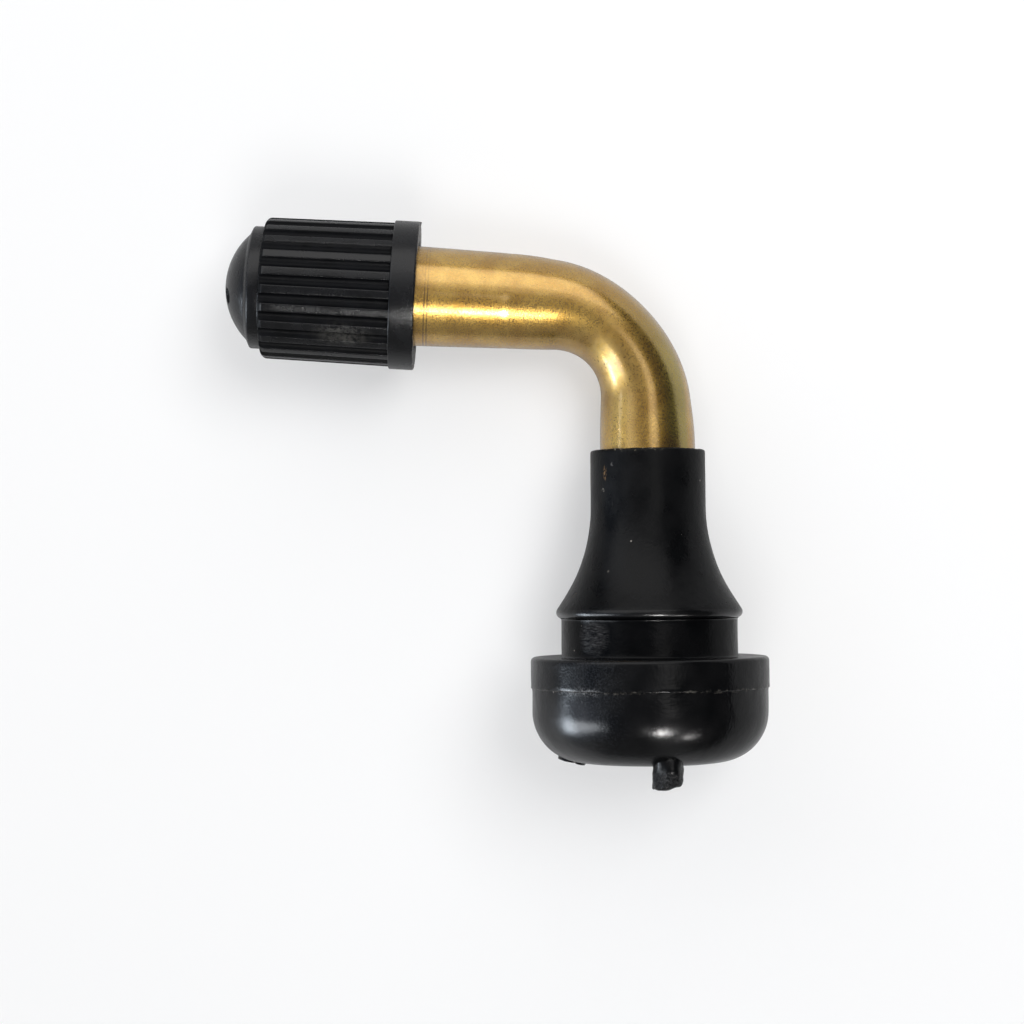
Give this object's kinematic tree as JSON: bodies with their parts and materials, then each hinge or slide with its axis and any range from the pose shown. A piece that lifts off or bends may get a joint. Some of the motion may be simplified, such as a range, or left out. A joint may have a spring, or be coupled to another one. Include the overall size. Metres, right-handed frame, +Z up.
{
  "type": "tyre valve",
  "caption": "Right-angle snap-in tyre valve: a rubber base that grips a rim hole, a bent brass stem with a sprung valve core, and a ribbed plastic screw cap.",
  "frame": {"origin": "centre of the rim seat: on the stem's axis, in the plane of the head's upper face", "axes": "+Z up as the loose valve rests on a table; the stem runs along +Y and leans 13 degrees below it towards the bend; the outlet points along -X and rises"},
  "size_m": [0.0446, 0.0471, 0.0203],
  "materials": {
    "black_rubber": "satin",
    "brass": "satin",
    "core_brass": "satin",
    "cap_plastic": "satin",
    "red_seal": "matte",
    "dark_seal": "matte",
    "spring_steel": "satin"
  },
  "bodies": {
    "valve": {"rubber_base": "black_rubber", "stem": "brass", "core_swivel": "core_brass", "core_barrel": "core_brass", "barrel_gasket": "red_seal", "core_spring": "spring_steel"},
    "plunger": {"core_pin": "core_brass", "plunger_cup": "core_brass", "cup_seal": "dark_seal"},
    "cap_washer": {"cap_gasket": "dark_seal"},
    "cap": {"cap": "cap_plastic"}
  },
  "joints": [
    {"name": "pin_press", "type": "slide", "parent": "valve", "child": "plunger", "axis": [0.9836, -0.0971, -0.1523], "range_m": [0, 0.0016], "stiffness_N_per_m": 500, "springref_m": -0.004, "deforming": ["core_spring"]},
    {"name": "cap_travel", "type": "slide", "parent": "valve", "child": "cap_washer", "axis": [-0.9836, 0.0971, 0.1523], "range_m": [0, 0.00516]},
    {"name": "cap_turn", "type": "hinge", "parent": "cap_washer", "child": "cap", "pos_m": [-0.0189, 0.03026, -0.00351], "axis": [-0.9836, 0.0971, 0.1523], "range_deg": [0, 2340]}
  ],
  "couplings": [
    {"joint": "cap_turn", "follows": "cap_travel", "rad_per_m": 7915.8}
  ]
}
